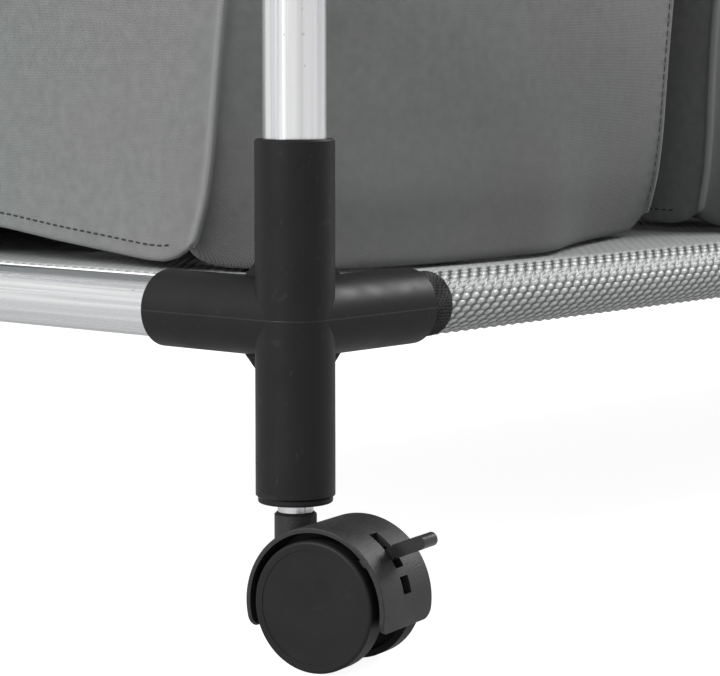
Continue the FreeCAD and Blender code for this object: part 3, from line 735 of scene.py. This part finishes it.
# %% Bag rings
RAIL_TO_CORNER = (
    (0, 62), (8, 58), (15, 55), (22, 52), (38, 48.4), (60, 45.4), (84, 42),
    (160, 31), (320, 22), (560, 18), (700, 15)
)
BELLY_BY_HEIGHT = ((0, 50), (12, 43), (40, 33.5), (82, 27), (160, 14.5), (320, 5.5), (560, 1.5), (700, 0.5))
LOW_BELLY = (
    (-1, 0), (-0.9, 0.3), (-0.79, 0.82), (-0.61, 0.96), (-0.45, 1),
    (0.08, 0.97), (0.39, 0.56), (0.64, 0.3), (0.9, 0.07), (1, 0)
)
SIDE_HEM = ((0, 11), (0.21, 9.4), (0.44, 6.3), (0.67, 3.8), (0.82, 2.1), (0.9, 2.0), (0.95, 3.6), (1, 7.5))
LEANS = {"left": (1.0, 0.79), "middle": (0.71, 0.79), "right": (0.71, 0.95)}
REAR_LEAN = (0.85, 0.9)
COLUMNS_PER_PANEL = 60
RING_ROWS = 116
FLOOR_RISE = 8.5
# Height in millimetres over which the painted shade low on the front and rear panels fades out.
PAINTED_SHADE_HEIGHT = 85.0
WELT_WIDTH = 1.7
WELT_HEIGHT = 1.1
SIDE_HALF = 119.4


def from_table(table, height):
    """The value at a height in millimetres, between the rows of a short table."""
    return float(np.interp(height, [row[0] for row in table], [row[1] for row in table]))


def eased(table, value, spread):
    """A value from a table with its kinks rounded off: the mean of five places close together."""
    return sum(from_table(table, value + step * spread) for step in (-1, -0.5, 0, 0.5, 1)) / 5


def lower_edge(panel, along):
    """How far the lower edge of a panel stands above the bag's bottom, in millimetres."""
    if panel in ("left", "right"):
        return from_table(SIDE_HEM, abs(along))
    return 0.4 + 7.1 * max(0.0, (abs(along) - 0.9) / 0.1) ** 2


def mouth_drop(panel, along_mm):
    """How far the top edge lies under the bars' axis: hand slots, hook gaps, a slight sag at the sides."""
    if panel in ("left", "right"):
        return 3.0 + 9.0 * max(0.0, 1 - (along_mm / 145.0) ** 2)
    grip = 27.0 / (1 + math.exp((abs(along_mm) - 45.5) / 0.9))
    hook = 14.0 / (1 + math.exp((abs(abs(along_mm) - 70.0) - 10.0) / 0.6))
    return max(5.5, grip, hook)


def panel_point(panel, along, height, place):
    """A point on one panel: along is -1 to 1 round the bag, height is in millimetres. Returns x, y in millimetres,
    from the bag's middle."""
    depth_half = HALF_Y / MM
    seed = BAGS.index(place) + 1
    corner_in = eased(RAIL_TO_CORNER, height, 4.0)
    low_share = max(0.0, 1 - height / 260.0)
    if panel in ("front", "rear"):
        first, last = LEANS[place] if panel == "front" else REAR_LEAN
        start = 1 - low_share * (1 - first)
        end = 1 - low_share * (1 - last)
        edge = corner_in * (start + (end - start) * (along + 1) / 2)
        low_weight = max(0.0, 1 - height / 75.0) ** 1.4
        bow = low_weight * eased(LOW_BELLY, along, 0.07) + (1 - low_weight) * (1 - abs(along) ** 2.3)
        inset = edge - eased(BELLY_BY_HEIGHT, height, 4.0) * bow * (1 - 0.03 * math.sin(2.2 * along + seed))
        x = SIDE_HALF * along * (1 if panel == "front" else -1)
        y = -(depth_half - inset) if panel == "front" else depth_half - inset
        return x, y
    near = "front" if panel == "right" else "rear"
    y_from = panel_point(near, 1.0, height, place)[1]
    y_to = panel_point("rear" if near == "front" else "front", -1.0, height, place)[1]
    y = y_from + (y_to - y_from) * (along + 1) / 2
    x = SIDE_HALF if panel == "right" else -SIDE_HALF
    hollow = 1.2 * (1 - along * along) * math.sin(height / 95.0 + seed)
    return x - math.copysign(hollow, x), y


def bag_cloth(name, low, high, place):
    """The bag's outer skin as rings from the bottom edge to the mouth, closed below by shrinking rings."""
    seed = BAGS.index(place) + 1
    centre_x = (low.x + high.x) / 2
    bottom = low.z / MM
    bar_axis = middle_of(name.replace("bag_cloth", "bag_bars")).z / MM
    panels = ("front", "right", "rear", "left")
    spread = [math.sin(math.pi / 2 * q) for q in np.linspace(-1, 1, COLUMNS_PER_PANEL + 1)[:-1]]
    columns = [(panel, along) for panel in panels for along in spread]
    floor_rows = 10
    rows = floor_rows + RING_ROWS
    points = np.zeros((rows, len(columns), 3))
    flat = np.zeros((rows, len(columns), 2))
    for row in range(RING_ROWS):
        share = (row / (RING_ROWS - 1)) ** 1.55
        for column, (panel, along) in enumerate(columns):
            x0, y0 = panel_point(panel, along, 0.0, place)
            along_mm = x0 if panel in ("front", "rear") else y0
            edge_low = lower_edge(panel, along)
            top = bar_axis - bottom - mouth_drop(panel, along_mm)
            height = edge_low + share * (top - edge_low)
            x, y = panel_point(panel, along, height, place)
            tuck_size = 3.0 if panel in ("front", "rear") else 1.5
            rise = min(1.0, share * (top - edge_low) / tuck_size)
            tuck = tuck_size * (1 - math.sqrt(1 - (1 - rise) ** 2)) if rise < 1 else 0.0
            out = {"front": (0, -1), "rear": (0, 1), "left": (-1, 0), "right": (1, 0)}[panel]
            span = SIDE_HALF
            if panel not in ("front", "rear"):
                span = abs(panel_point("front", 1.0, height, place)[1])
            from_corner = (1 - abs(along)) * span
            welt = WELT_HEIGHT * math.exp(-((from_corner / WELT_WIDTH) ** 2))
            calm = 1 - math.exp(-from_corner / 14.0)
            top_calm = min(1.0, (top - height) / 60.0)
            spot = (x + 40 * seed, y, height)
            wave = 2.2 * soft_noise(spot, 105.0, seed) + 0.6 * soft_noise(spot, 34.0, seed + 3)
            crease = 0.5 * soft_noise((x, y, height * 0.4), 12.0, seed + 5) * math.exp(-height / 60.0)
            lift = (wave + crease) * calm * top_calm * min(1.0, height / 25.0)
            if panel in ("left", "right"):
                lift *= 0.45
            move = welt + lift - tuck
            points[row + floor_rows, column] = (x + out[0] * move, y + out[1] * move, height)
            flat[row + floor_rows, column, 1] = height
    ring = points[floor_rows]
    middle = np.array([0.0, 0.0])
    for row in range(floor_rows):
        share = row / floor_rows
        points[row, :, :2] = middle + (ring[:, :2] - middle) * share
        points[row, :, 2] = FLOOR_RISE + (ring[:, 2] - FLOOR_RISE) * share ** 1.3
        flat[row, :, 1] = -60.0 * (1 - share)
    steps = np.linalg.norm(np.roll(ring, -1, axis=0) - ring, axis=1)
    around = np.concatenate([[0.0], np.cumsum(steps)])
    flat[:, :, 0] = around[:-1]
    points[:, :, 2] += bottom
    points[:, :, 0] += centre_x / MM
    piece = grid_piece(name, points * MM, flat * MM, ring=True, wrap=(around[-1] * MM, 0.0))
    seam = piece.data.attributes.new("seam_distance", "FLOAT", "POINT")
    pulled = piece.data.attributes.new("pulled", "FLOAT", "POINT")
    spans = {"front": SIDE_HALF, "rear": SIDE_HALF, "left": 120.0, "right": 120.0}
    gaps = [(1 - abs(along)) * spans[panel] * MM for panel, along in columns]
    pulls = [1.0 if panel in ("front", "rear") and along > 0 else 0.0 for panel, along in columns]
    seam.data.foreach_set("value", np.tile(gaps, rows).astype(np.float32))
    pulled.data.foreach_set("value", np.tile(pulls, rows).astype(np.float32))
    # Painted shade: an attribute that is 1 at the bottom of the front and rear panels and fades to 0 at 85 mm up; the
    # cloth finish darkens the colour by it.
    painted_low_shade = piece.data.attributes.new("painted_low_shade", "FLOAT", "POINT")
    faces_out = np.array([1.0 if panel in ("front", "rear") else 0.0 for panel, _ in columns])
    low_share = np.clip(1.0 - (points[:, :, 2] - bottom) / PAINTED_SHADE_HEIGHT, 0.0, 1.0)
    painted_low_shade.data.foreach_set("value", (low_share * faces_out).astype(np.float32).ravel())
    return piece, points[floor_rows:] * MM


CLOTH_THICKNESS = 1.1 * MM
BOARD_GAP = 1.4
BOARD_THICKNESS = 2.2 * MM


def base_board(name, place, rings):
    """The stiff board on the bag's floor. It bends with the floor, so it is made from the same rings."""
    lowest = rings[0] / MM
    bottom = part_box(f"bag_{place}")[0].z / MM
    middle = np.array([(lowest[:, 0].min() + lowest[:, 0].max()) / 2, 0.0])
    shares = np.linspace(0.0, 0.92, 9)
    points = np.zeros((len(shares), len(lowest), 3))
    for row, share in enumerate(shares):
        points[row, :, :2] = middle + (lowest[:, :2] - middle) * share
        floor = FLOOR_RISE + (lowest[:, 2] - bottom - FLOOR_RISE) * share ** 1.3
        points[row, :, 2] = bottom + floor + BOARD_GAP
    board = grid_piece(name, points * MM, points[:, :, :2] * MM, ring=True)
    join_pole(board)
    grows_up = 1.0 if board.data.polygons[0].normal.z > 0 else -1.0
    apply_modifier(board, "SOLIDIFY", thickness=BOARD_THICKNESS, offset=grows_up)
    face_outwards(board)
    return board


# %% Sew the bags
def join_pole(piece):
    """Merges the innermost ring into one point."""
    bpy.ops.object.select_all(action="DESELECT")
    piece.select_set(True)
    bpy.context.view_layer.objects.active = piece
    bpy.ops.object.mode_set(mode="EDIT")
    bpy.ops.mesh.select_all(action="SELECT")
    bpy.ops.mesh.remove_doubles(threshold=0.00001)
    bpy.ops.mesh.normals_make_consistent(inside=False)
    bpy.ops.object.mode_set(mode="OBJECT")
    piece.select_set(False)


bag_points = {}
for place in BAGS:
    low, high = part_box(f"bag_{place}")
    cloth, bag_points[place] = bag_cloth(f"bag_cloth_{place}", low, high, place)
    join_pole(cloth)
    apply_modifier(cloth, "SOLIDIFY", thickness=CLOTH_THICKNESS, offset=-1.0)
    cloth.data.materials.append(BAG_CLOTH)
    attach(cloth, f"bag_{place}")
    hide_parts(f"bag_{place}")
    board = base_board(f"bag_board_{place}", place, bag_points[place])
    board.data.materials.append(BOARD_BLACK)
    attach(board, f"bag_{place}")
    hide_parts(f"bag_base_board_{place}")
    print(cloth.name, len(cloth.data.polygons), "faces")

# %% [markdown]
# ## Seams and stitches
# A twill tape is folded over every corner seam. It follows the cloth's own points, a little outside them.
# Lines of lockstitch run beside one seam of the front and rear panels and along the side hems; each stitch
# is a small six-sided bead of dark thread.

# %% Seam tape
THREAD_GREY = make_black_plastic("grey sewing thread", (0.13, 0.132, 0.132), 0.7, 4000.0, 0.0002)
TAPE_OFFSETS = (-3.4, -3.2, -2.0, -0.8, 0.0, 0.7, 1.3, 1.5)
TAPE_LIFTS = (-0.2, 0.3, 0.5, 0.7, 0.8, 0.6, 0.3, -0.2)


def make_tape_material():
    """Twill tape: slanting ribs that turn back in the middle of each half."""
    material, tree, shader, _ = new_material("grey twill tape", Specular_IOR_Level=0.3, Roughness=0.8)
    place = add_node(tree, "ShaderNodeUVMap", uv_map="cloth").outputs[0]
    flat = add_node(tree, "ShaderNodeSeparateXYZ", {0: place})
    folded = calculate(tree, "PINGPONG", flat.outputs[0], 1.1 * MM)
    slant = calculate(tree, "ADD", flat.outputs[1], folded)
    wave = calculate(tree, "SINE", calculate(tree, "MULTIPLY", slant, 2 * math.pi / (0.95 * MM)))
    ribs = scale_to(tree, wave, -0.8, 0.8, 0.0, 1.0)
    colour = blend_colours(tree, ribs, (0.16, 0.165, 0.165), (0.36, 0.365, 0.365))
    tree.links.new(colour, shader.inputs["Base Color"])
    bump(tree, shader, ribs, 0.00012)
    return material


TAPE_GREY = make_tape_material()


def ring_place(ring, column, offset):
    """The place on a closed ring at a signed distance round it from one of its points."""
    step = 1 if offset >= 0 else -1
    left = abs(offset) * MM
    at = column
    while True:
        nearer = ring[at % len(ring)]
        farther = ring[(at + step) % len(ring)]
        size = float(np.linalg.norm(farther - nearer))
        if left <= size:
            return nearer + (farther - nearer) * (left / size)
        left -= size
        at += step


def outward(ring, column):
    """The way out of the bag at one of the ring's points, level with the floor."""
    before, after = ring[(column - 4) % len(ring)], ring[(column + 4) % len(ring)]
    run = after - before
    out = np.array([run[1], -run[0], 0.0])
    return out / max(float(np.linalg.norm(out)), 1e-9)


def seam_tape(name, rings):
    """Four strips, one on each corner seam, as one piece."""
    parts = []
    for panel in range(4):
        column = panel * COLUMNS_PER_PANEL
        points = np.zeros((len(rings), len(TAPE_OFFSETS), 3))
        flat = np.zeros((len(rings), len(TAPE_OFFSETS), 2))
        for row, ring in enumerate(rings):
            way_out = outward(ring, column)
            for place, (offset, lift) in enumerate(zip(TAPE_OFFSETS, TAPE_LIFTS)):
                spot = ring_place(ring, column, offset if panel % 2 == 0 else -offset)
                points[row, place] = spot + way_out * lift * MM
                flat[row, place] = (offset * MM, ring[column][2])
        parts.append(grid_piece(f"{name}_{panel}", points, flat))
    return join_pieces(name, parts)


def join_pieces(name, parts):
    bpy.ops.object.select_all(action="DESELECT")
    for part in parts:
        part.select_set(True)
    bpy.context.view_layer.objects.active = parts[0]
    if len(parts) > 1:
        bpy.ops.object.join()
    joined = bpy.context.object
    joined.name = name
    joined.select_set(False)
    return joined


# %% Stitches
STITCH_PITCH = 3.3 * MM
STITCH_LENGTH = 2.3 * MM
STITCH_R = 0.3 * MM


def even_places(path, pitch):
    """Places at an even pitch along a polyline, each with the direction there."""
    path = np.array(path)
    steps = np.linalg.norm(np.diff(path, axis=0), axis=1)
    run = np.concatenate([[0.0], np.cumsum(steps)])
    at = np.arange(pitch / 2, run[-1], pitch)
    spots = np.stack([np.interp(at, run, path[:, axis]) for axis in range(3)], axis=1)
    ahead = np.stack([np.interp(at + pitch / 4, run, path[:, axis]) for axis in range(3)], axis=1)
    return [(Vector(a), (Vector(b) - Vector(a)).normalized()) for a, b in zip(spots, ahead) if (b != a).any()]


def stitch_lines(name, paths):
    """One bead for each stitch along every path."""
    verts = []
    faces = []
    for path in paths:
        for spot, along in even_places(path, STITCH_PITCH):
            side = along.cross(Vector((0.3, 0.5, 0.81))).normalized()
            other = along.cross(side)
            first = len(verts)
            for run, size in ((-0.5, 0.0), (-0.34, 1.0), (0.34, 1.0), (0.5, 0.0)):
                centre = spot + along * (run * STITCH_LENGTH)
                if size == 0.0:
                    verts.append(centre)
                    continue
                for turn in range(4):
                    angle = math.pi / 2 * turn
                    verts.append(centre + (side * math.cos(angle) + other * math.sin(angle)) * STITCH_R)
            for turn in range(4):
                after = (turn + 1) % 4
                faces.append((first, first + 1 + after, first + 1 + turn))
                faces.append((first + 1 + turn, first + 1 + after, first + 5 + after, first + 5 + turn))
                faces.append((first + 9, first + 5 + turn, first + 5 + after))
    mesh = bpy.data.meshes.new(name)
    mesh.from_pydata([tuple(v) for v in verts], [], faces)
    piece = bpy.data.objects.new(name, mesh)
    bpy.context.scene.collection.objects.link(piece)
    face_outwards(piece)
    return piece


def at_height(rings, column, height):
    """The cloth's place in one column at a height above that column's lower edge, in metres."""
    line = rings[:, column]
    level = line[0][2] + height
    return np.array([np.interp(level, line[:, 2], line[:, axis]) for axis in range(3)])


def hem_paths(rings):
    """Along the lower hem of both side panels, and under the mouth of both."""
    paths = []
    for panel in (1, 3):
        columns = range(panel * COLUMNS_PER_PANEL + 8, (panel + 1) * COLUMNS_PER_PANEL - 7)
        for height in (5.2 * MM, 0.645):
            path = []
            for column in columns:
                ring = rings[0]
                path.append(at_height(rings, column, height) + outward(ring, column) * 0.12 * MM)
            paths.append(path)
    return paths


def seam_paths(rings):
    """Up one edge of the front and rear panels, a few millimetres from the seam."""
    paths = []
    for panel in (0, 2):
        column = (panel + 1) * COLUMNS_PER_PANEL
        path = []
        for ring in rings[6:]:
            spot = ring_place(ring, column % len(ring), -4.6)
            path.append(spot + outward(ring, (column - 12) % len(ring)) * 0.1 * MM)
        paths.append(path)
    return paths


# %% Hem channels
HEM_R = 7.4 * MM
HEM_SPANS = ((-113.0, -79.8), (-60.2, -44.4), (44.4, 60.2), (79.8, 113.0))


def hem_channels(name, place):
    """The cloth round the bars, left open at the hooks and at the grips."""
    low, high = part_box(f"bag_bars_{place}")
    centre_x = (low.x + high.x) / 2
    parts = []
    for side, y in ((-1, low.y + 6 * MM), (1, high.y - 6 * MM)):
        for number, (start, end) in enumerate(HEM_SPANS):
            steps = max(6, int((end - start) / 2.5))
            points = np.zeros((steps + 1, 40, 3))
            flat = np.zeros((steps + 1, 40, 2))
            for row in range(steps + 1):
                x = start + (end - start) * row / steps
                for column in range(40):
                    angle = 2 * math.pi * column / 40
                    spot = (x, side * 30 + 9 * math.cos(angle), 9 * math.sin(angle))
                    radius = HEM_R + 0.25 * MM * soft_noise(spot, 9.0, 4)
                    drop = 1.2 * MM * max(0.0, -math.sin(angle)) ** 3
                    points[row, column] = (
                        centre_x + x * MM,
                        y + radius * math.cos(angle),
                        (low.z + high.z) / 2 + radius * math.sin(angle) - drop,
                    )
                    flat[row, column] = (x * MM, radius * angle)
            wrap = (0.0, 2 * math.pi * HEM_R)
            parts.append(grid_piece(f"{name}_{side}_{number}", points, flat, ring=True, wrap=wrap))
    return join_pieces(name, parts)


# %% Add them to the bags
for place in BAGS:
    rings = bag_points[place]
    tape = seam_tape(f"bag_tape_{place}", rings)
    face_outwards(tape)
    tape.data.materials.append(TAPE_GREY)
    thread = stitch_lines(f"bag_hem_thread_{place}", hem_paths(rings))
    thread.data.materials.append(THREAD_BLACK)
    seam_thread = stitch_lines(f"bag_seam_thread_{place}", seam_paths(rings))
    seam_thread.data.materials.append(THREAD_GREY)
    hems = hem_channels(f"bag_hems_{place}", place)
    face_outwards(hems)
    apply_modifier(hems, "SOLIDIFY", thickness=1.0 * MM, offset=-1.0)
    hems.data.materials.append(BAG_CLOTH)
    for piece in (tape, thread, seam_thread, hems):
        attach(piece, f"bag_{place}")
        print(piece.name, len(piece.data.polygons), "faces")

# %% [markdown]
# ## Floor and light
# A big pale floor, a bright even sky, and one broad soft sun from the left, so the side of the bag is paler
# than its front. A weaker sun from the right lifts the far end.

# %% Floor
bpy.ops.mesh.primitive_plane_add(size=60.0, location=(0, 0, 0))
floor = bpy.context.object
floor.name = "floor"
floor_material, floor_tree, floor_shader, floor_place = new_material("pale floor", Roughness=0.9)
floor_grain = place_group(floor_tree, GRAIN, {"Vector": floor_place, "Grains per metre": 300.0})
floor_tree.links.new(
    blend_colours(floor_tree, floor_grain["Blotch"], (0.27, 0.27, 0.27), (0.28, 0.28, 0.28)),
    floor_shader.inputs["Base Color"],
)
floor_rays = floor_tree.nodes.new("ShaderNodeLightPath").outputs
floor_glow = calculate(floor_tree, "MULTIPLY", floor_rays["Is Camera Ray"], 0.92)
floor_glow = calculate(floor_tree, "MULTIPLY_ADD", floor_rays["Is Glossy Ray"], 0.36, floor_glow)
floor_shader.inputs["Emission Color"].default_value = (1.0, 1.0, 1.0, 1.0)
floor_tree.links.new(floor_glow, floor_shader.inputs["Emission Strength"])
floor.data.materials.append(floor_material)

# %% Light
def add_light(name, kind, energy, location, target, **settings):
    light = bpy.data.lights.new(name, kind)
    light.energy = energy
    for key, value in settings.items():
        setattr(light, key, value)
    lamp = bpy.data.objects.new(name, light)
    lamp.location = location
    lamp.rotation_euler = (Vector(target) - Vector(location)).to_track_quat("-Z", "Y").to_euler()
    bpy.context.scene.collection.objects.link(lamp)
    return lamp


world = bpy.data.worlds.new("studio")
bpy.context.scene.world = world
world.use_nodes = True
background = world.node_tree.nodes["Background"]
background.inputs["Color"].default_value = (1.0, 1.0, 1.0, 1.0)
sky_rays = world.node_tree.nodes.new("ShaderNodeLightPath").outputs["Is Camera Ray"]
sky_strength = scale_to(world.node_tree, sky_rays, 0.0, 1.0, 0.66, 1.0)
world.node_tree.links.new(sky_strength, background.inputs["Strength"])
add_light("soft key", "SUN", 2.3, (-4, 0.6, 2.6), (0, 0, 0.3), angle=math.radians(30))
add_light("right fill", "SUN", 1.6, (3.0, -1.15, 2.7), (0, 0, 0.3), angle=math.radians(22))
bpy.context.scene.view_settings.view_transform = "Standard"
